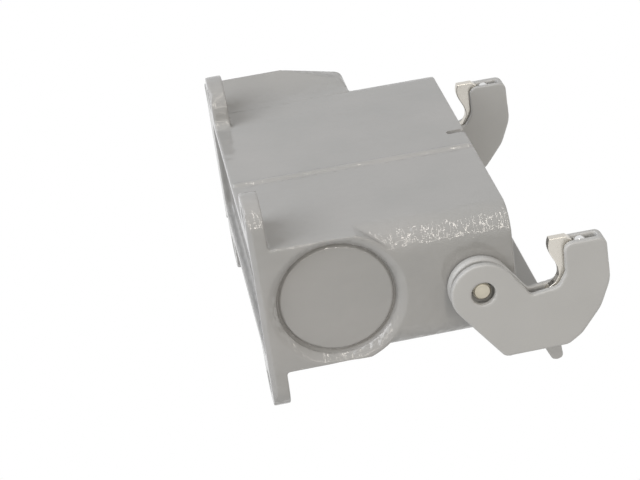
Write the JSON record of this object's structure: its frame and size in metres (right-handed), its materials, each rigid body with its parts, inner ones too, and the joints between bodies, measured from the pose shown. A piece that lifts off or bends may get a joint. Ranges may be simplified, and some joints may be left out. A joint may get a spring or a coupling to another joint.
{
  "type": "rectangular connector housing",
  "caption": "Box-shaped connector base with mounting lugs, a blanked end, a flared cable entry and a swinging locking lever whose hooked arms draw a mating hood down onto a rim seal.",
  "frame": {"origin": "centre of the lug holes' pattern, on the mounting face", "axes": "+Z from the mounting face to the mating face, +X along the housing to the cable entry, -Y to the lever's crossbar"},
  "size_m": [0.103, 0.0552, 0.0795],
  "materials": {
    "coated_casting": "fine textured powder coat, grey",
    "seal_rubber": "matt black",
    "pin_steel": "turned",
    "lever_plastic": "moulded, satin, grey",
    "plate_steel": "stamped, nickel plated",
    "spring_steel": "bright rolled strip"
  },
  "bodies": {
    "base": {"housing": "coated_casting", "rim_seal": "seal_rubber", "pivot_pin_near": "pin_steel", "pivot_pin_far": "pin_steel"},
    "lever": {"lever": "lever_plastic", "hook_plate_near": "plate_steel", "hook_plate_far": "plate_steel", "leaf_spring_near": "spring_steel", "leaf_spring_far": "spring_steel"}
  },
  "joints": [
    {"name": "lever_swing", "type": "hinge", "parent": "base", "child": "lever", "pos_m": [0, -0.0013, 0.0501], "axis": [1, 0, 0], "range_deg": [0, 50]}
  ]
}
